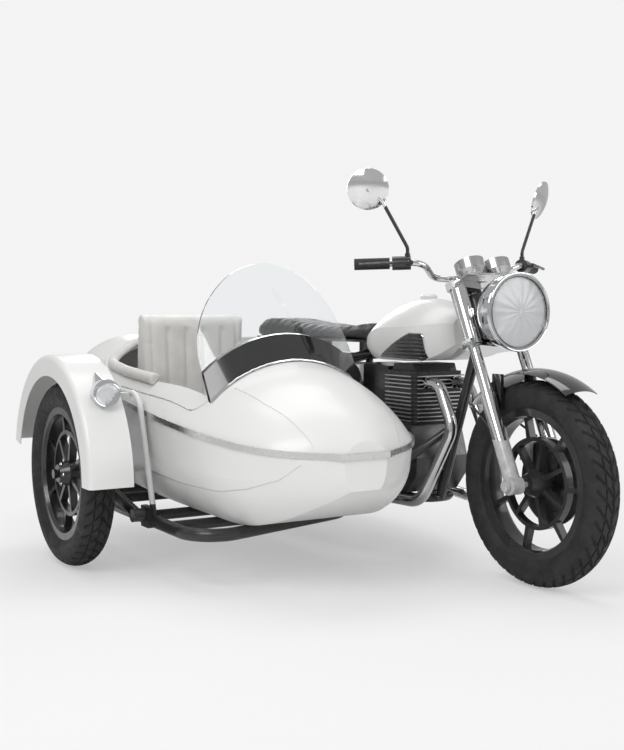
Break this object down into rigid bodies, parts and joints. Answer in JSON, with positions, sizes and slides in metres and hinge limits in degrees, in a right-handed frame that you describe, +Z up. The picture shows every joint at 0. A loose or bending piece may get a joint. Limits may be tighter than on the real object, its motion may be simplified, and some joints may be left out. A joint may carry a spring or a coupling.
{
  "type": "sidecar motorcycle",
  "caption": "Parallel-twin motorcycle with an open boat-shaped sidecar on its right, with turning wheels and steering.",
  "frame": {"origin": "on the ground, at the centre of the outfit's bounding box", "axes": "+X forward, +Y to the left, +Z up"},
  "size_m": [2.375, 1.6952, 1.3471],
  "materials": {
    "tyre": "matt black tread",
    "cast_black": "satin black cast web",
    "white_paint": "gloss",
    "black_paint": "satin",
    "chrome": "polished",
    "alloy": "cast, brushed",
    "rubber": "matt",
    "leather_light": "stitched",
    "leather_dark": "stitched",
    "lamp_glass": "clear",
    "screen_glass": "clear",
    "gloss_black": "polished",
    "red_lens": "clear red",
    "plate_white": "blank"
  },
  "bodies": {
    "outfit": {"airbox": "black_paint", "belt_moulding": "chrome", "cockpit_roll": "leather_light", "crankcase": "alloy", "cylinder_block": "alloy", "cylinder_head": "alloy", "engine_covers": "alloy", "exhaust_left": "chrome", "exhaust_right": "chrome", "fuel_tank": "white_paint", "main_frame": "black_paint", "mudguard_lamp": "chrome", "number_plate": "plate_white", "rear_mudguard": "chrome", "rider_seat": "leather_dark", "screen_trim": "gloss_black", "seat_base": "black_paint", "shock_absorbers": "chrome", "side_covers": "white_paint", "sidecar_chassis": "black_paint", "sidecar_deck": "white_paint", "sidecar_mudguard": "white_paint", "sidecar_seat_back": "leather_light", "sidecar_seat_cushion": "leather_light", "sidecar_struts": "black_paint", "sidecar_suspension": "black_paint", "sidecar_tub": "white_paint", "swingarm": "black_paint", "tail_lamp": "red_lens", "windscreen": "screen_glass"},
    "fork_assembly": {"fork": "alloy", "handlebar": "chrome", "grips": "rubber", "hand_controls": "black_paint", "mirrors": "black_paint", "headlamp": "chrome", "headlamp_lens": "lamp_glass", "instruments": "black_paint", "front_mudguard": "chrome"},
    "front_wheel_assembly": {"front_tyre": "tyre", "front_wheel": "cast_black"},
    "rear_wheel_assembly": {"rear_tyre": "tyre", "rear_wheel": "cast_black"},
    "sidecar_wheel_assembly": {"sidecar_tyre": "tyre", "sidecar_wheel": "cast_black"}
  },
  "joints": [
    {"name": "steering", "type": "hinge", "parent": "outfit", "child": "fork_assembly", "pos_m": [0.59732, 0.41243, 0.775], "axis": [-0.4226, 0, 0.9063], "range_deg": [-35, 35]},
    {"name": "front_wheel_spin", "type": "hinge", "parent": "fork_assembly", "child": "front_wheel_assembly", "pos_m": [0.86, 0.41243, 0.33], "axis": [0, 1, 0], "continuous": true},
    {"name": "rear_wheel_spin", "type": "hinge", "parent": "outfit", "child": "rear_wheel_assembly", "pos_m": [-0.63, 0.41243, 0.32], "axis": [0, 1, 0], "continuous": true},
    {"name": "sidecar_wheel_spin", "type": "hinge", "parent": "outfit", "child": "sidecar_wheel_assembly", "pos_m": [-0.197, -0.76757, 0.32], "axis": [0, 1, 0], "continuous": true}
  ]
}
